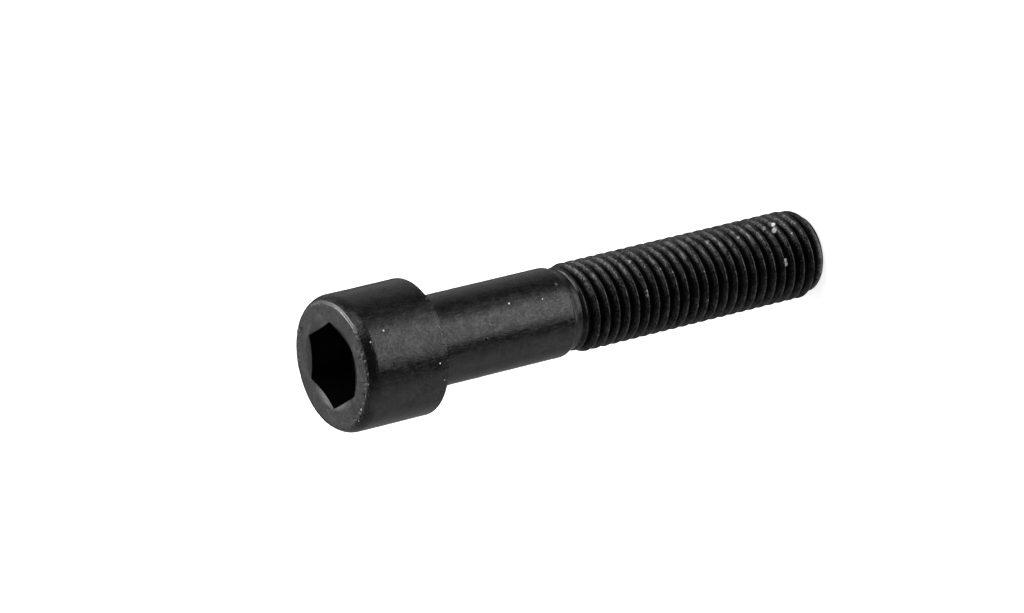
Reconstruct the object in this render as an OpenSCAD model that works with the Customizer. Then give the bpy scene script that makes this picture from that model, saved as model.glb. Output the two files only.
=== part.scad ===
// Socket head cap screw, 3/4-10 coarse thread, forged head and rolled right-hand thread.
// Millimetres. The screw stands on the flat end of its thread: z = 0 is that end face,
// +Z runs up the axis, through the thread and the plain shank, to the socket in the head.

/* [Head] */
// Diameter of the head
head_d = 28.575; // [24:0.1:34]
// Height of the head, from its bearing face to its top
head_h = 19.05; // [16:0.05:24]
// How far the side of the head curves in to the edge of the top, measured across
rim_w = 0.87; // [0.4:0.01:1.4]
// Height of that curve, measured from the top of the head
rim_h = 2.6; // [1.5:0.1:3.5]
// Width of the margin that slopes from the flat of the top to its edge
margin_w = 0.8; // [0.3:0.05:1.2]
// How far the margin drops
margin_drop = 0.33; // [0.1:0.01:0.5]
// Small break on the edge of the bearing face
edge_break = 0.2; // [0.05:0.05:0.6]

/* [Socket] */
// Hexagon, across its flats
socket_af = 16; // [12:0.1:17]
// Depth of the flats below the top of the head
socket_depth = 10; // [7:0.1:11.5]
// How far the entry chamfer reaches past the corners of the hexagon
socket_lead = 0.16; // [0.05:0.01:0.5]
// Angle of the entry chamfer and of the conical floor
socket_cone = 120; // [100:1:140]

/* [Shank] */
// Length under the head
length = 100.4; // [90:0.1:120]
// Diameter of the plain shank
shank_d = 19.05; // [18.5:0.05:20]
// Length of the plain shank, from the bearing face
grip = 33.2; // [20:0.1:40]
// Radius of the fillet under the head
fillet_r = 0.9; // [0.3:0.1:1.5]
// Length of the rounded shoulder, where the shank drops to the rolling diameter
shoulder_len = 3.3; // [1:0.1:5]
// Diameter at the foot of the shoulder
neck_d = 16.9; // [16.4:0.1:17.6]

/* [Thread] */
// Diameter over the crests
thread_d = 19.05; // [18.6:0.05:19.6]
// Distance from crest to crest
pitch = 2.54; // [2.2:0.02:2.8]
// Length of the first crests, which rise from the neck to their full height
run_in = 5.1; // [2:0.1:8]
// Length of the taper at the end of the thread
end_taper = 3.5; // [1:0.1:5]
// Diameter of the flat end face
end_d = 16.06; // [15.6:0.02:17]
// Turn of the thread about the axis, in degrees
thread_turn = 115; // [0:1:359]

/* [Hidden] */

head_r = head_d / 2;
shank_r = shank_d / 2;
neck_r = neck_d / 2;
crest_r = thread_d / 2;
end_r = end_d / 2;
full_h = length + head_h;
neck_z = length - grip - shoulder_len;

// Unified thread form: 60 degree flanks, crest flat of an eighth of the pitch.
flank_angle = 30;
thread_depth = 0.6134 * pitch;
root_r = crest_r - thread_depth;
crest_flat = pitch / 8;
flank_w = thread_depth * tan(flank_angle);

// How far a solid reaches into the one it joins, and a cut past the face it opens.
overlap = 1;
arc_steps = 8;
rim_turn = 50;
round_fn = 96;
black_oxide = [0.16, 0.16, 0.17];

// Quarter of an ellipse from [0, h] to [w, 0], bulging outwards.
function quarter(w, h) = [for (i = [0:arc_steps]) let (a = 90 * i / arc_steps)
    [w * sin(a), h * cos(a)]];

// Quarter of a circle in an inner corner, from [0, -r] to [r, 0], hollow outwards.
function inner_quarter(r) = [for (i = [0:arc_steps]) let (a = 90 * i / arc_steps)
    [r - r * cos(a), -r + r * sin(a)]];

// Forged head: a drum whose side curves in to the edge of the top. From there a narrow
// margin slopes up to the flat, and the bearing edge stays sharp.
module head() {
    curve = [for (i = [0:arc_steps]) let (a = rim_turn * i / arc_steps) [
        head_r - rim_w * (1 - cos(a)) / (1 - cos(rim_turn)),
        head_h - rim_h + (rim_h - margin_drop) * sin(a) / sin(rim_turn)]];
    rotate_extrude($fn = round_fn)
        polygon(concat(
            [[0, 0], [head_r - edge_break, 0], [head_r, edge_break]],
            curve,
            [[head_r - rim_w - margin_w, head_h], [0, head_h]]
        ));
}

// Plain shank with its fillet under the head and its rounded shoulder at the neck.
// It reaches into the head, so that the two are one piece.
module shank() {
    shoulder = [for (p = quarter(shank_r - neck_r, shoulder_len))
        [neck_r + p[0], neck_z + shoulder_len - p[1]]];
    fillet = [for (p = inner_quarter(fillet_r)) [shank_r + p[0], length + p[1]]];
    rotate_extrude($fn = round_fn)
        polygon(concat(
            [[0, neck_z]],
            shoulder,
            fillet,
            [[shank_r + fillet_r, length + overlap], [0, length + overlap]]
        ));
}

// Hexagon socket: six flats, an entry chamfer just past the corners and a conical floor.
module socket() {
    flat_r = socket_af / 2;
    corner_r = flat_r / cos(30);
    lead_r = corner_r + socket_lead;
    cone_tip_r = 0.5;
    slope = tan(socket_cone / 2);
    lead_h = (lead_r - cone_tip_r) / slope;
    floor_h = (flat_r - cone_tip_r) / slope;
    translate([0, 0, full_h]) {
        translate([0, 0, -socket_depth])
            cylinder(r = corner_r, h = socket_depth + overlap, $fn = 6);
        translate([0, 0, -lead_h])
            cylinder(r1 = cone_tip_r, r2 = lead_r + overlap * slope, h = lead_h + overlap, $fn = round_fn);
        translate([0, 0, -socket_depth - floor_h])
            cylinder(r1 = cone_tip_r, r2 = flat_r, h = floor_h, $fn = round_fn);
    }
}

// The thread is one closed surface of columns and rows. Column j stands at its own angle.
// Row k follows the helix, rising by one pitch in a turn, and there are four rows to a
// pitch: the two edges of the crest and the two edges of the root.
// At the top a short plug, a little slimmer than the neck, sits inside it.
columns = 45;
rows_per_pitch = 4;
row_z = [0, crest_flat, crest_flat + flank_w, pitch - flank_w];
row_r = [crest_r, crest_r, root_r, root_r];
plug_h = 0.6;
plug_gap = 0.15;
seat_r = neck_r - plug_gap;
top_z = neck_z + plug_h;
rows = rows_per_pitch * ceil((top_z + pitch) / pitch);
end_margin = 0.25;

// Tallest crest and deepest root at height z: the crests grow from the end face and die
// away into the neck, where the roots rise to meet them.
function crest_limit(z) = min(
    end_r + (crest_r - end_r) * sin(90 * min(1, z / end_taper)),
    seat_r + (crest_r - seat_r) * min(1, max(0, neck_z - z) / run_in));
function root_limit(z) = max(
    root_r + (end_r - root_r) * max(0, 1 - z / pitch),
    root_r + (seat_r - root_r) * max(0, 1 - (neck_z - z) / run_in));
function thread_r(r, z) = min(max(r, min(root_limit(z), seat_r)), crest_limit(z));

function helix_z(j, k) = (floor(k / rows_per_pitch) - 1 + j / columns) * pitch + row_z[k % rows_per_pitch];
function at_angle(j, r, z) = [r * cos(360 * j / columns), r * sin(360 * j / columns), z];

// Rows of column j that lie between the end face and the top of the thread.
function rows_of(j) = [for (k = [0:rows - 1])
    if (helix_z(j, k) > end_margin && helix_z(j, k) < top_z - end_margin) k];

module thread() {
    kept = [for (j = [0:columns - 1]) rows_of(j)];
    first = [for (list = kept) list[0]];
    last = [for (list = kept) list[len(list) - 1]];
    base = [for (j = 0, n = 0; j < columns; n = n + len(kept[j]) + 2, j = j + 1) n];
    points = [for (j = [0:columns - 1]) each concat(
        [at_angle(j, end_r, 0)],
        [for (k = kept[j]) let (z = helix_z(j, k)) at_angle(j, thread_r(row_r[k % rows_per_pitch], z), z)],
        [at_angle(j, seat_r, top_z)])];
    // Between a column and the next, the rows run on; past the last column they meet the
    // first one a pitch higher up. What is left at either end is a fan of triangles.
    sides = [for (j = [0:columns - 1])
        let (
            next = (j + 1) % columns,
            shift = next == 0 ? rows_per_pitch : 0,
            a = base[j] + 1 - first[j],
            b = base[next] + 1 - first[next] + shift,
            a_first = first[j],
            a_last = last[j],
            b_first = first[next] - shift,
            b_last = last[next] - shift,
            a_low = base[j],
            b_low = base[next],
            a_top = a + a_last + 1,
            b_top = b + b_last + 1
        )
        each concat(
            [[a_low, b + b_first, b_low]],
            [for (k = [b_first:1:a_first - 1]) [a_low, b + k + 1, b + k]],
            [[a_low, a + a_first, b + a_first]],
            [for (k = [a_first:1:b_last - 1]) each [
                [a + k, a + k + 1, b + k],
                [b + k, a + k + 1, b + k + 1]]],
            [[b_top, b + b_last, a + b_last]],
            [for (k = [b_last:1:a_last - 1]) [b_top, a + k, a + k + 1]],
            [[b_top, a + a_last, a_top]]
        )];
    end_face = [for (j = [0:columns - 1]) base[j]];
    top_face = [for (j = [columns - 1:-1:0]) base[j] + len(kept[j]) + 1];
    rotate([0, 0, thread_turn])
        polyhedron(points = points, faces = concat(sides, [end_face, top_face]), convexity = 10);
}

module socket_head_cap_screw() {
    color(black_oxide)
        difference() {
            union() {
                translate([0, 0, length]) head();
                shank();
                thread();
            }
            socket();
        }
}

socket_head_cap_screw();
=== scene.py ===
import bpy
import math
from mathutils import Matrix, Vector, noise


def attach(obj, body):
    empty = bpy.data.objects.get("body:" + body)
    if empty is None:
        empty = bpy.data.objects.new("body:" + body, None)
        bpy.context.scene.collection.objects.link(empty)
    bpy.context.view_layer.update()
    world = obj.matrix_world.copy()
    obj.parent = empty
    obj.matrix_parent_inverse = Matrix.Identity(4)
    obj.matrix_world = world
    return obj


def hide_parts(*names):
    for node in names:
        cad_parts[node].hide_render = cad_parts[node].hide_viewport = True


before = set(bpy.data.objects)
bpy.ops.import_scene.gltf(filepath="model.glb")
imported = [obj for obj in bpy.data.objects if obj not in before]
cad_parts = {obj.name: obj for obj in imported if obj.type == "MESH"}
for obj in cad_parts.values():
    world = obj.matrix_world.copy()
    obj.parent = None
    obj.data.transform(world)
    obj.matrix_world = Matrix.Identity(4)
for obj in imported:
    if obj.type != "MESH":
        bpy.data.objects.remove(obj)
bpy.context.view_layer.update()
bpy.ops.object.select_all(action="DESELECT")
scene = bpy.context.scene


# Camera: a long lens that looks down on the head of the standing screw, turned on its side
# so that the head is left of the middle of the picture and the thread runs up to the right.
camera_from = Vector((0.3233, -0.8863, 0.6777))
camera_aim = Vector((0.00286, 0.00103, 0.07413))
camera_roll = math.radians(-103.573)
camera_data = bpy.data.cameras.new("camera")
camera_data.sensor_width = 36
camera_data.lens = 191.25
camera_data.clip_end = 20
camera = bpy.data.objects.new("camera", camera_data)
scene.collection.objects.link(camera)
look = (camera_aim - camera_from).to_track_quat("-Z", "Y").to_matrix()
turned = (look @ Matrix.Rotation(camera_roll, 3, "Z")).to_4x4()
camera.matrix_world = Matrix.Translation(camera_from) @ turned
scene.camera = camera
scene.view_settings.view_transform = "Standard"


# Studio floor: a wide sheet of white paper that glows a little of its own, so that shadows on
# it stay faint. It is left out of reflections and casts no shadow, because part of the light
# reaches the standing screw from below its level.
bpy.ops.mesh.primitive_plane_add(size=12, location=(0, 0, 0))
floor = bpy.context.object
floor.name = "floor"
floor.visible_glossy = False
floor.visible_shadow = False
paper = bpy.data.materials.new("white_paper")
paper.use_nodes = True
paper_shader = paper.node_tree.nodes["Principled BSDF"]
paper_shader.inputs["Base Color"].default_value = (0.9, 0.9, 0.9, 1)
paper_shader.inputs["Roughness"].default_value = 0.9
paper_shader.inputs["Specular IOR Level"].default_value = 0
paper_shader.inputs["Emission Color"].default_value = (1, 1, 1, 1)
paper_shader.inputs["Emission Strength"].default_value = 0.8
floor.data.materials.append(paper)


# Light cards: soft panels that stand round the screw, 1.5 m away. Each is given by its
# bearing and height in degrees as seen from the screw, its spread and its brightness.
def light_card(name, bearing, height, wide, tall, radiance):
    distance = 1.5
    az, el = math.radians(bearing), math.radians(height)
    away = Vector((math.cos(el) * math.cos(az), math.cos(el) * math.sin(az), math.sin(el)))
    data = bpy.data.lights.new(name, "AREA")
    data.shape = "RECTANGLE"
    data.size = 2 * distance * math.tan(math.radians(wide / 2))
    data.size_y = 2 * distance * math.tan(math.radians(tall / 2))
    data.energy = radiance * math.pi * data.size * data.size_y
    card = bpy.data.objects.new(name, data)
    scene.collection.objects.link(card)
    turn = away.to_track_quat("Z", "Y").to_matrix().to_4x4()
    card.matrix_world = Matrix.Translation(Vector((0, 0, 0.06)) + away * distance) @ turn
    card.visible_camera = False
    return card


light_card("right_box", -64, -35, 41, 20, 2.9)
light_card("right_edge", -35, -35, 17, 20, 1.7)
light_card("right_fade", -18, -35, 15, 20, 0.6)
light_card("right_wall", -10, 12, 34, 44, 1.4)
light_card("table_near", -145, -13, 46, 93, 0.46)
light_card("table_high", -164, 46, 44, 34, 0.2)
light_card("table_far", 154, -13, 64, 93, 0.26)
light_card("back_wall", 57, -17, 54, 84, 0.3)
light_card("left_box", 52, 46, 40, 36, 3.5)
light_card("lens_card", 85, 37, 17, 42, 1.8)
light_card("upper_box", 10, 58, 34, 28, 3.7)
light_card("top_box", -20, 84, 40, 14, 0.9)
light_card("end_card", -70, -80, 40, 30, 1.4)
light_card("face_card", 112, 45, 40, 58, 0.77)

world = bpy.data.worlds.new("studio")
world.use_nodes = True
scene.world = world
air = world.node_tree.nodes
dim, pale = air["Background"], air.new("ShaderNodeBackground")
dim.inputs["Strength"].default_value = 0.045
pale.inputs["Strength"].default_value = 1
for light in (dim, pale):
    light.inputs["Color"].default_value = (1, 1, 1, 1)
path, either = air.new("ShaderNodeLightPath"), air.new("ShaderNodeMixShader")
join = world.node_tree.links.new
join(path.outputs["Is Camera Ray"], either.inputs[0])
join(dim.outputs[0], either.inputs[1])
join(pale.outputs[0], either.inputs[2])
join(either.outputs[0], air["World Output"].inputs["Surface"])


# Screw: one blank of alloy steel, with a forged head and socket and a rolled thread,
# blackened in hot oxide salts.
MM = 0.001
full_h = 119.45
head_r = 14.2875
head_h = 19.05
shank_r = 9.525
length = full_h - head_h
neck_z = 63.9
shoulder_z = 66.05
shoulder_h = 1.25
neck_r = 8.68
thread_turn = 115
pitch = 2.54
crest_r = 9.525
root_r = crest_r - 0.6134 * pitch
end_r = 8.03
end_taper = 3.2
crest_shift = 0.27
columns = 144
blank_columns = 288


def arc(center, radii, start, end, steps):
    """Points of an elliptical arc in the plane of radius and height, angles in degrees."""
    turn = [math.radians(start + (end - start) * i / steps) for i in range(steps + 1)]
    return [(center[0] + radii[0] * math.cos(a), center[1] + radii[1] * math.sin(a)) for a in turn]


def draw_line(name, points):
    """Draws a line of edges through points given as radius and height in millimetres."""
    bpy.ops.mesh.primitive_plane_add(size=1)
    line = bpy.context.object
    line.name = name
    bpy.ops.object.mode_set(mode="EDIT")
    bpy.ops.mesh.select_all(action="SELECT")
    bpy.ops.mesh.merge(type="CENTER")
    bpy.ops.transform.translate(value=(points[0][0] * MM, 0, points[0][1] * MM))
    for last, point in zip(points, points[1:]):
        step = ((point[0] - last[0]) * MM, 0, (point[1] - last[1]) * MM)
        bpy.ops.mesh.extrude_region_move(TRANSFORM_OT_translate={"value": step})
    bpy.ops.object.mode_set(mode="OBJECT")
    return line


# Section of the blank: the face, the ridged margin round it, the curve of the rim, the side of
# the head, the bearing face, the fillet, the shank, the shoulder and the neck.
face_r, margin_drop, edge_break, fillet_r = 11.4, 0.33, 0.15, 0.9
rim_w, rim_h, rim_turn = 0.87, 2.6, 50
margin = [(12.6, 0), (12.93, 0.05), (13.07, 0.13), (13.3, 0.19), (13.39, 0.25)]
rim_round = (rim_w / (1 - math.cos(math.radians(rim_turn))),
             (rim_h - margin_drop) / math.sin(math.radians(rim_turn)))
head_row, shank_row, foot_r, core_r = 0.8, 1, neck_r + 0.03, 7.6
neck_foot = [(8.83, 64.72), (8.77, 64.6), (8.73, 64.4), (8.7, 64.1), (neck_r, 63.7), (8.62, 63.2)]
outline = (
    [(0, full_h), (9.6, full_h)]
    + [(face_r + 0.3 * i, full_h) for i in range(4)]
    + [(r, full_h - drop) for r, drop in margin]
    + arc((head_r - rim_round[0], full_h - rim_h), rim_round, rim_turn, 0, 12)
    + [(head_r, full_h - rim_h - head_row * i) for i in range(1, 20)]
    + [(head_r, length + z) for z in (0.7, 0.45, 0.15)]
    + [(head_r - edge_break, length), (12, length)]
    + arc((shank_r + fillet_r, length - fillet_r), (fillet_r, fillet_r), 90, 180, 6)
    + [(shank_r, length - 2 - shank_row * i) for i in range(31)]
    + arc((foot_r, shoulder_z), (shank_r - foot_r, shoulder_h), 0, -78, 12)
    + neck_foot
    + [(core_r, 63.1), (core_r, 1), (0, 1)]
)
blank = draw_line("cap_screw", outline)
bpy.ops.object.mode_set(mode="EDIT")
bpy.ops.mesh.select_all(action="SELECT")
bpy.ops.mesh.spin(steps=blank_columns, angle=math.tau, center=(0, 0, 0), axis=(0, 0, 1))
bpy.ops.mesh.select_all(action="SELECT")
bpy.ops.mesh.remove_doubles(threshold=1e-6)
bpy.ops.mesh.normals_make_consistent(inside=False)
bpy.ops.object.mode_set(mode="OBJECT")

# The forged surface is a little uneven, and the margin round its top face is pitted.
for v in blank.data.vertices:
    spot_at = v.co / MM
    from_axis = math.hypot(spot_at.x, spot_at.y)
    on_top = spot_at.z > full_h - 0.7
    if from_axis < shank_r - 0.1 or (on_top and from_axis <= face_r + 0.1):
        continue
    lump = 0.03 * noise.noise(spot_at / 2.4) + 0.014 * noise.noise(spot_at / 0.9)
    if on_top:
        low_left = spot_at.x < 0 and spot_at.y < -0.6 * from_axis
        knocked = abs(spot_at.y) > 0.87 * from_axis or low_left
        pit = max(0, noise.noise(spot_at / 0.55 + Vector((7, 0, 0))) - 0.12)
        v.co.z -= (0.6 if knocked else 0.15) * (1 if from_axis < 13.2 else 0.5) * pit * MM
        lump += 0.03 * noise.noise(spot_at / 0.6)
    if length < spot_at.z < length + 0.8:
        lump += 0.05 * noise.noise(spot_at / 0.5)
    v.co.x *= 1 + lump / from_axis
    v.co.y *= 1 + lump / from_axis

# One pitch of the thread's section, drawn from root to root and turned up the helix.
half = pitch / 2
crest_round, root_round = 0.42, 0.2
section = (
    arc((root_r + root_round, -half), (root_round, root_round), 180, 120, 2)
    + arc((crest_r - crest_round, 0), (crest_round, crest_round), -60, 60, 8)
    + arc((root_r + root_round, half), (root_round, root_round), 240, 180, 2)
)
thread = draw_line("thread", section)
turns = math.ceil(neck_z / pitch) + 3
helix = thread.modifiers.new("helix", "SCREW")
helix.angle = math.tau
helix.steps = helix.render_steps = columns
helix.iterations = turns
helix.screw_offset = pitch * MM
helix.use_normal_calculate = True
bpy.ops.object.modifier_apply(modifier="helix")
bpy.ops.object.mode_set(mode="EDIT")
bpy.ops.mesh.select_all(action="SELECT")
bpy.ops.mesh.remove_doubles(threshold=1e-6)
bpy.ops.object.mode_set(mode="OBJECT")
crest_middle = pitch / 16
phase = math.radians(thread_turn + 360 * (crest_middle - crest_shift) / pitch)
thread.data.transform(Matrix.Translation((0, 0, -2 * pitch * MM)) @ Matrix.Rotation(phase, 4, "Z"))
bpy.ops.object.mode_set(mode="EDIT")
bpy.ops.mesh.select_all(action="SELECT")
bpy.ops.mesh.bisect(plane_co=(0, 0, 0), plane_no=(0, 0, 1), clear_inner=True,
                    use_fill=True, threshold=1e-7)
bpy.ops.mesh.select_all(action="SELECT")
bpy.ops.mesh.bisect(plane_co=(0, 0, (neck_z + 0.5) * MM), plane_no=(0, 0, 1), clear_outer=True,
                    use_fill=True, threshold=1e-7)
bpy.ops.mesh.select_all(action="SELECT")
bpy.ops.mesh.normals_make_consistent(inside=False)
bpy.ops.object.mode_set(mode="OBJECT")

# At the flat end each turn stays round on top and is only lower. At the neck the crests
# rise within a turn, later on one side than on the other, and the roots deepen with them.
seat_r, early_side = 8.66, math.radians(8)
crests_from, crests_late, crests_over, crests_slow = 63.8, 1.1, 2, 1.6
roots_from, roots_late, roots_over = 63.5, 0.4, 2.4


def smooth(share):
    """Eases a share from 0 to 1 in and out."""
    share = min(1, max(0, share))
    return share * share * (3 - 2 * share)


for v in thread.data.vertices:
    z, r = v.co.z / MM, math.hypot(v.co.x, v.co.y) / MM
    bearing = math.atan2(v.co.y, v.co.x)
    start = pitch * (bearing - phase) / math.tau
    crest_z = start + pitch * round((z - start) / pitch)
    from_end = min(1, max(0, crest_z / end_taper))
    late = 0.5 - 0.5 * math.cos(bearing - early_side)
    risen = smooth((crests_from - crests_late * late - crest_z) / (crests_over + crests_slow * late))
    deepened = smooth((roots_from - roots_late * late - z) / roots_over)
    crest = min(end_r + (crest_r - end_r) * math.sin(math.pi / 2 * from_end),
                seat_r + (crest_r - seat_r) * risen)
    root = min(root_r + (end_r - root_r) * max(0, 1 - z / pitch),
               seat_r + (root_r - seat_r) * deepened)
    share = (r - root_r) / (crest_r - root_r)
    grown = (min(root, crest) + max(0, crest - root) * share) / r
    v.co.x *= grown
    v.co.y *= grown

# Hexagon socket: cut by a punch with six flats, an entry cone and a conical nose.
def punch(sides, bottom_r, top_r, bottom_z, top_z):
    """A straight or conical punch on the screw's axis, with a corner of its flats along X."""
    bpy.ops.mesh.primitive_cone_add(vertices=sides, radius1=bottom_r * MM, radius2=top_r * MM,
                                    depth=(top_z - bottom_z) * MM,
                                    location=(0, 0, (bottom_z + top_z) / 2 * MM),
                                    rotation=(0, 0, math.radians(90)))
    tool = bpy.context.object
    bpy.ops.object.transform_apply(location=True, rotation=True, scale=True)
    return tool


def combine(target, tool, operation):
    """Joins a solid to the target, or cuts it from the target."""
    modifier = target.modifiers.new(tool.name, "BOOLEAN")
    modifier.operation = operation
    modifier.solver = "EXACT"
    modifier.object = tool
    bpy.context.view_layer.objects.active = target
    bpy.ops.object.modifier_apply(modifier=modifier.name)
    bpy.data.objects.remove(tool)


flat_r, socket_depth, tip_r, past_face = 8, 10, 0.5, full_h + 1
corner_r = flat_r / math.cos(math.radians(30))
lead_r = corner_r + 0.16
lead_slope = math.tan(math.radians(70))
nose_slope = math.tan(math.radians(60))
lead_tip = full_h - (lead_r - tip_r) / lead_slope
floor_z = full_h - socket_depth
nose_tip = floor_z - (flat_r - tip_r) / nose_slope
combine(blank, thread, "UNION")
combine(blank, punch(96, tip_r, lead_r + lead_slope, lead_tip, past_face), "DIFFERENCE")
combine(blank, punch(6, corner_r, corner_r, floor_z, past_face), "DIFFERENCE")
combine(blank, punch(96, tip_r, flat_r, nose_tip, floor_z), "DIFFERENCE")

# Shader groups. Their places are object coordinates in millimetres.
def new_group(name, inputs, outputs):
    """Starts a node group with its sockets, and gives its tree, group input and group output."""
    tree = bpy.data.node_groups.new(name, "ShaderNodeTree")
    for label, kind, value in inputs:
        socket = tree.interface.new_socket(label, in_out="INPUT", socket_type="NodeSocket" + kind)
        socket.default_value = value
    for label, kind in outputs:
        tree.interface.new_socket(label, in_out="OUTPUT", socket_type="NodeSocket" + kind)
    return tree, tree.nodes.new("NodeGroupInput"), tree.nodes.new("NodeGroupOutput")


def add(tree, kind, sockets, **settings):
    """Adds a node with its settings, and sets or links each socket that is given."""
    node = tree.nodes.new("ShaderNode" + kind)
    for key, value in settings.items():
        setattr(node, key, value)
    for key, value in sockets.items():
        if isinstance(value, bpy.types.NodeSocket):
            tree.links.new(value, node.inputs[key])
        else:
            node.inputs[key].default_value = value
    return node


def maths(tree, operation, *values):
    """Adds a maths node on numbers or sockets and gives its result."""
    return add(tree, "Math", dict(enumerate(values)), operation=operation).outputs[0]


def ramp(tree, value, low, high):
    """Smooth step of a value, from 0 at the low mark to 1 at the high one."""
    sockets = {"Value": value, "From Min": low, "From Max": high}
    return add(tree, "MapRange", sockets, interpolation_type="SMOOTHSTEP").outputs["Result"]


def stretch(tree, place, scale):
    """Scales a place by a vector, which draws a pattern out along the axis with the smallest scale."""
    return add(tree, "VectorMath", {0: place, 1: scale}, operation="MULTIPLY").outputs["Vector"]


def cloud(tree, place, size, detail, roughness):
    """Noise of a given grain in millimetres, about 0 to 1."""
    scale = maths(tree, "DIVIDE", 1, size)
    sockets = {"Vector": place, "Scale": scale, "Detail": detail, "Roughness": roughness}
    return add(tree, "TexNoise", sockets).outputs["Fac"]


# Mottle: patches of oxide of two sizes, with a contrast to suit.
place_input = ("Place", "Vector", (0, 0, 0))
mottle, given, result = new_group(
    "Mottle", [place_input, ("Patch", "Float", 1.5), ("Grain", "Float", 0.3), ("Contrast", "Float", 1)],
    [("Value", "Float")])
patches = cloud(mottle, given.outputs["Place"], given.outputs["Patch"], 2, 0.5)
grains = cloud(mottle, given.outputs["Place"], given.outputs["Grain"], 2, 0.6)
from_patches = maths(mottle, "MULTIPLY", patches, 0.35)
both = maths(mottle, "ADD", from_patches, maths(mottle, "MULTIPLY", grains, 0.65))
spread = maths(mottle, "DIVIDE", 0.75, given.outputs["Contrast"])
darkest, palest = maths(mottle, "SUBTRACT", 0.5, spread), maths(mottle, "ADD", 0.5, spread)
mottle.links.new(ramp(mottle, both, darkest, palest), result.inputs["Value"])

# Scratches: thin lines drawn out along the axis, and others across it.
scratches, given, result = new_group(
    "Scratches", [place_input, ("Width", "Float", 0.12), ("Share", "Float", 0.3)],
    [("Along", "Float"), ("Across", "Float")])
limit = maths(scratches, "SUBTRACT", 0.72, maths(scratches, "MULTIPLY", given.outputs["Share"], 0.3))
for label, scale in (("Along", (1, 1, 0.06)), ("Across", (0.07, 0.07, 1))):
    drawn_out = stretch(scratches, given.outputs["Place"], scale)
    lines = cloud(scratches, drawn_out, given.outputs["Width"], 1, 0.4)
    above = maths(scratches, "ADD", limit, 0.08)
    scratches.links.new(ramp(scratches, lines, limit, above), result.inputs[label])

# Worn and highlight edge: uncoated metal where an edge is near, broken up into specks. It gives real
# wear on some edges and painted highlight lines on others.
worn_and_highlight_edge, given, result = new_group(
    "Worn and highlight edge", [place_input, ("Near", "Float", 0), ("Speck", "Float", 0.35), ("Amount", "Float", 0.5)],
    [("Mask", "Float")])
specks = cloud(worn_and_highlight_edge, given.outputs["Place"], given.outputs["Speck"], 3, 0.65)
needed = maths(worn_and_highlight_edge, "SUBTRACT", 0.75, maths(worn_and_highlight_edge, "MULTIPLY", given.outputs["Amount"], 0.5))
broken = ramp(worn_and_highlight_edge, specks, needed, maths(worn_and_highlight_edge, "ADD", needed, 0.12))
worn_and_highlight_edge.links.new(maths(worn_and_highlight_edge, "MULTIPLY", broken, given.outputs["Near"]), result.inputs["Mask"])

# Flecks: small dots, one in some of the cells of a random grid.
flecks, given, result = new_group(
    "Flecks", [place_input, ("Cell", "Float", 1.2), ("Size", "Float", 0.1), ("Share", "Float", 0.2)],
    [("Mask", "Float")])
cells = add(flecks, "TexVoronoi", {"Vector": given.outputs["Place"],
                                   "Scale": maths(flecks, "DIVIDE", 1, given.outputs["Cell"])})
across = maths(flecks, "MULTIPLY", cells.outputs["Distance"], given.outputs["Cell"])
inner = maths(flecks, "MULTIPLY", given.outputs["Size"], 0.5)
dot = maths(flecks, "SUBTRACT", 1, ramp(flecks, across, inner, given.outputs["Size"]))
draw = add(flecks, "SeparateColor", {"Color": cells.outputs["Color"]}).outputs["Red"]
chosen = maths(flecks, "LESS_THAN", draw, given.outputs["Share"])
flecks.links.new(maths(flecks, "MULTIPLY", dot, chosen), result.inputs["Mask"])

# Spot: one ragged mark at a given centre.
spot, given, result = new_group(
    "Spot", [place_input, ("Centre", "Vector", (0, 0, 0)), ("Radius", "Float", 0.3),
             ("Ragged", "Float", 0.4), ("Strength", "Float", 1)],
    [("Mask", "Float")])
ends = {0: given.outputs["Place"], 1: given.outputs["Centre"]}
off = add(spot, "VectorMath", ends, operation="DISTANCE").outputs["Value"]
ratio = maths(spot, "DIVIDE", off, given.outputs["Radius"])
edge_cloud = cloud(spot, given.outputs["Place"], given.outputs["Radius"], 2, 0.6)
uneven = maths(spot, "MULTIPLY", maths(spot, "SUBTRACT", edge_cloud, 0.5), 4)
rough_ratio = maths(spot, "ADD", ratio, maths(spot, "MULTIPLY", uneven, given.outputs["Ragged"]))
within = maths(spot, "SUBTRACT", 1, ramp(spot, rough_ratio, 0.7, 1.05))
spot.links.new(maths(spot, "MULTIPLY", within, given.outputs["Strength"]), result.inputs["Mask"])


def on_side(bearing, height, radius):
    """Point at a bearing in degrees round the axis, a height and a radius."""
    turn = math.radians(bearing)
    return (radius * math.cos(turn), radius * math.sin(turn), height)


# Black oxide finish of the screw: mottled and finely scratched, rubbed through along the edges, with
# painted highlights on the rim, at glints and round the end, and painted shade in the grooves of the
# thread.
oxide = bpy.data.materials.new("black_oxide_steel")
oxide.use_nodes = True
tree = oxide.node_tree
shader = tree.nodes["Principled BSDF"]


def use(group, sockets):
    """Adds a shader group to the material."""
    return add(tree, "Group", sockets, node_tree=group).outputs


object_place = add(tree, "TexCoord", {}).outputs["Object"]
place = add(tree, "VectorMath", {0: object_place, "Scale": 1000}, operation="SCALE").outputs["Vector"]
split = add(tree, "SeparateXYZ", {0: place}).outputs
height = split["Z"]
squares = [maths(tree, "POWER", split[side], 2) for side in ("X", "Y")]
radius = maths(tree, "SQRT", maths(tree, "ADD", squares[0], squares[1]))


def near(value, centre, reach):
    """Falls from 1 where a value is at the centre to 0 at the reach on either side."""
    gap = maths(tree, "ABSOLUTE", maths(tree, "SUBTRACT", value, centre))
    return maths(tree, "SUBTRACT", 1, ramp(tree, gap, 0, reach))


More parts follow.
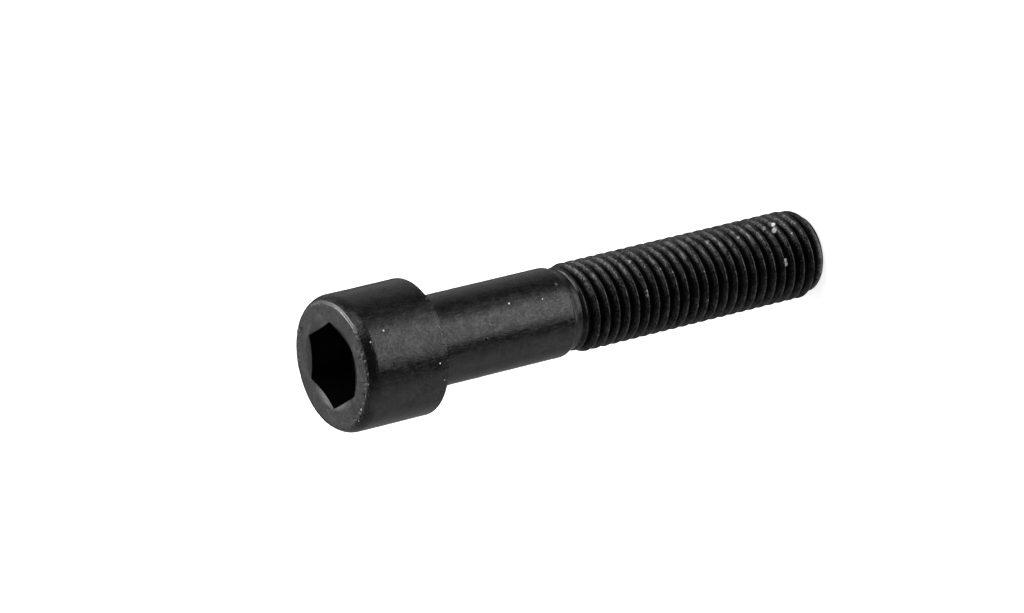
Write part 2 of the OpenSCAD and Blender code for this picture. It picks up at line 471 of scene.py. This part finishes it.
on_thread = maths(tree, "SUBTRACT", 1, ramp(tree, height, 61.4, 63.4))
# Painted highlight: two thin lines of uncoated metal round the margin of the top face, only on the side
# towards the lamps, where light falls on the rim.
highlight_way = (0.906, -0.423, 0)
towards = add(tree, "VectorMath", {0: place, 1: highlight_way}, operation="DOT_PRODUCT").outputs["Value"]
lit_side = ramp(tree, maths(tree, "DIVIDE", towards, radius), 0.9, 0.98)
on_rim = maths(tree, "MULTIPLY", near(height, full_h - 0.1, 0.5), lit_side)
top_edge_highlight = maths(tree, "MULTIPLY", near(radius, 13.4, 0.14), on_rim)
second_edge_highlight = maths(tree, "MULTIPLY", near(radius, 12.97, 0.08), on_rim)
bearing_edge = maths(tree, "MULTIPLY", near(radius, head_r, 0.4), near(height, length + 0.3, 0.9))
crests = maths(tree, "MULTIPLY", near(radius, crest_r, 0.14), on_thread)

in_socket = maths(tree, "LESS_THAN", radius, 9.42)
contrast = maths(tree, "ADD", 4.8, maths(tree, "MULTIPLY", on_thread, 5))
contrast = maths(tree, "SUBTRACT", contrast, maths(tree, "MULTIPLY", in_socket, 3))
mottled = use(mottle, {"Place": place, "Patch": 1.6, "Grain": 0.36, "Contrast": contrast})["Value"]
lines = use(scratches, {"Place": place, "Width": 0.14, "Share": 0.45})
# Uncoated metal: real wear on the bearing edge and the crests, and the painted highlight lines on the
# rim.
worn_and_highlights = [
    use(worn_and_highlight_edge, {"Place": place, "Near": top_edge_highlight, "Speck": 1.6, "Amount": 1.1})["Mask"],
    use(worn_and_highlight_edge, {"Place": place, "Near": second_edge_highlight, "Speck": 1.2, "Amount": 0.8})["Mask"],
    use(worn_and_highlight_edge, {"Place": place, "Near": bearing_edge, "Speck": 0.35, "Amount": 0.32})["Mask"],
    use(worn_and_highlight_edge, {"Place": place, "Near": crests, "Speck": 0.45, "Amount": 0.04})["Mask"],
]
bare_and_highlights = worn_and_highlights[0]
for mask in worn_and_highlights[1:]:
    bare_and_highlights = maths(tree, "MAXIMUM", bare_and_highlights, mask)

# Painted glints: spots of steel colour put where highlights fall, mostly on the crests; and pale chips
# and dust. Each is given by its bearing, its height, its distance from the axis, its radius and its
# strength.
glints = [(-24, 12.2, 9.2, 0.5, 0.4), (-43, 7.0, 9.4, 0.28, 0.8), (-51, 4.0, 9.1, 0.4, 0.8),
          (-30, 17.4, 9.4, 0.35, 0.5), (-30, 19.8, 9.4, 0.35, 0.5), (-25, 27.4, 9.4, 0.5, 0.4),
          (-66, 31.9, 9.4, 0.2, 0.7), (-104, 31.5, 9.4, 0.22, 0.8), (-109, 33.9, 9.4, 0.3, 0.8),
          (-27, 47.7, 9.4, 0.4, 0.4), (-57, 39.5, 9.4, 0.3, 0.5), (-49, 42, 9.4, 0.3, 0.5),
          (-73, 47, 9.4, 0.35, 0.6), (-78, 47.1, 9.4, 0.4, 0.6), (-9, 34.6, 9.4, 0.25, 0.7),
          (-117, 59.2, 9.3, 0.3, 0.7), (-36, 67.4, 9.5, 0.35, 0.25),
          (-48.3, 65.1, neck_r, 0.32, 0.3), (-82.6, 87.6, shank_r, 0.12, 0.5),
          (-66.6, 86.2, shank_r, 0.12, 0.5)]
pale = [(-22, 9.6, 9.3, 0.5, 1), (-29.4, 9.95, 8.7, 0.68, 1), (-77.5, 9.97, 8.05, 0.46, 1),
        (-83.2, 9.93, 8.05, 0.46, 1), (-52.2, 113.8, head_r, 0.19, 0.9), (-59, 117.6, 14.1, 0.19, 0.9),
        (-89.3, 102.6, head_r, 0.18, 0.9), (-105, 101.4, head_r, 0.15, 0.5),
        (-69.2, full_h, 12.0, 0.19, 0.9), (-124, full_h, 12.3, 0.2, 0.8),
        (-137.5, full_h - 0.2, 13.1, 0.18, 0.6),
        (-46.7, 80.24, shank_r, 0.2, 1), (-51.3, 72.25, shank_r, 0.17, 0.8),
        (-131, 62.6, neck_r, 0.24, 0.45)]


def join_spots(mask, spots, ragged):
    """Adds spots to a mask."""
    for bearing, z, r, wide, strength in spots:
        sockets = {"Place": place, "Centre": on_side(bearing, z, r), "Radius": wide,
                   "Ragged": ragged, "Strength": strength}
        mask = maths(tree, "MAXIMUM", mask, use(spot, sockets)["Mask"])
    return mask


bare_and_highlights = join_spots(bare_and_highlights, glints, 0.35)
pits = join_spots(0, [(-83.9, 87.9, shank_r, 0.3, 1), (-65.3, 85.9, shank_r, 0.22, 0.8)], 0.3)
near_side = ramp(tree, maths(tree, "MULTIPLY", split["Y"], -1), 9, 11)
on_margin = maths(tree, "MULTIPLY", near(radius, 12.9, 0.75), near(height, full_h, 0.8))
dots = use(flecks, {"Place": place, "Cell": 0.8, "Size": 0.26, "Share": 0.6})["Mask"]
dots = maths(tree, "MULTIPLY", dots, maths(tree, "MULTIPLY", on_margin, near_side))
pits = maths(tree, "MAXIMUM", pits, dots)
# Painted highlight: a pale ring round the end of the thread, mixed in with the colour of the dust and
# chips.
end_ring_highlight = maths(tree, "MULTIPLY", ramp(tree, height, 2.1, 1.2), ramp(tree, radius, 8.2, 8.7))
end_highlight_amount = maths(tree, "ADD", 0.04, maths(tree, "MULTIPLY", mottled, 0.12))
end_ring_highlight = maths(tree, "MULTIPLY", end_ring_highlight, end_highlight_amount)
dust_and_highlight = join_spots(end_ring_highlight, pale, 0.3)
# Painted shade: the grooves of the thread reflect less towards their roots.
root_shade = maths(tree, "MULTIPLY", ramp(tree, radius, root_r + 1.6, root_r + 0.35), on_thread)

tone_range = maths(tree, "ADD", 0.42, maths(tree, "MULTIPLY", on_thread, 0.4))
either_way = maths(tree, "SUBTRACT", mottled, 0.5)
tone = maths(tree, "ADD", 0.51, maths(tree, "MULTIPLY", either_way, tone_range))
drawn = maths(tree, "MULTIPLY", maths(tree, "ADD", lines["Along"], lines["Across"]), 0.2)
shade_and_pits = maths(tree, "MAXIMUM", maths(tree, "MULTIPLY", root_shade, 0.96), pits)
outside_shade_and_pits = maths(tree, "SUBTRACT", 1, shade_and_pits)
level = maths(tree, "MULTIPLY", maths(tree, "ADD", tone, drawn), outside_shade_and_pits)
tree.links.new(level, shader.inputs["Specular IOR Level"])
oxide_black, bare_steel, dust_and_highlight_white = (0.003, 0.003, 0.0031, 1), (0.3, 0.3, 0.3, 1), (0.8, 0.8, 0.8, 1)
colour = add(tree, "MixRGB", {"Fac": bare_and_highlights, "Color1": oxide_black, "Color2": bare_steel}).outputs["Color"]
colour = add(tree, "MixRGB", {"Fac": dust_and_highlight, "Color1": colour, "Color2": dust_and_highlight_white}).outputs["Color"]
tree.links.new(colour, shader.inputs["Base Color"])
outside_dust_and_highlight = maths(tree, "SUBTRACT", 0.85, maths(tree, "MULTIPLY", dust_and_highlight, 0.85))
tree.links.new(maths(tree, "MULTIPLY", bare_and_highlights, outside_dust_and_highlight), shader.inputs["Metallic"])
rough = maths(tree, "ADD", 0.16, maths(tree, "MULTIPLY", mottled, 0.08))
tree.links.new(maths(tree, "ADD", rough, maths(tree, "MULTIPLY", dust_and_highlight, 0.4)), shader.inputs["Roughness"])
relief = maths(tree, "SUBTRACT", mottled, maths(tree, "MULTIPLY", drawn, 2))
depth = maths(tree, "ADD", 0.000034, maths(tree, "MULTIPLY", on_thread, 0.00001))
bump = add(tree, "Bump", {"Height": relief, "Strength": 0.6, "Distance": depth})
tree.links.new(bump.outputs["Normal"], shader.inputs["Normal"])
blank.data.materials.clear()
blank.data.materials.append(oxide)
bpy.ops.object.select_all(action="DESELECT")
blank.select_set(True)
bpy.context.view_layer.objects.active = blank
bpy.ops.object.shade_smooth_by_angle(angle=math.radians(32))
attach(blank, "root")
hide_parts("socket_head_cap_screw")
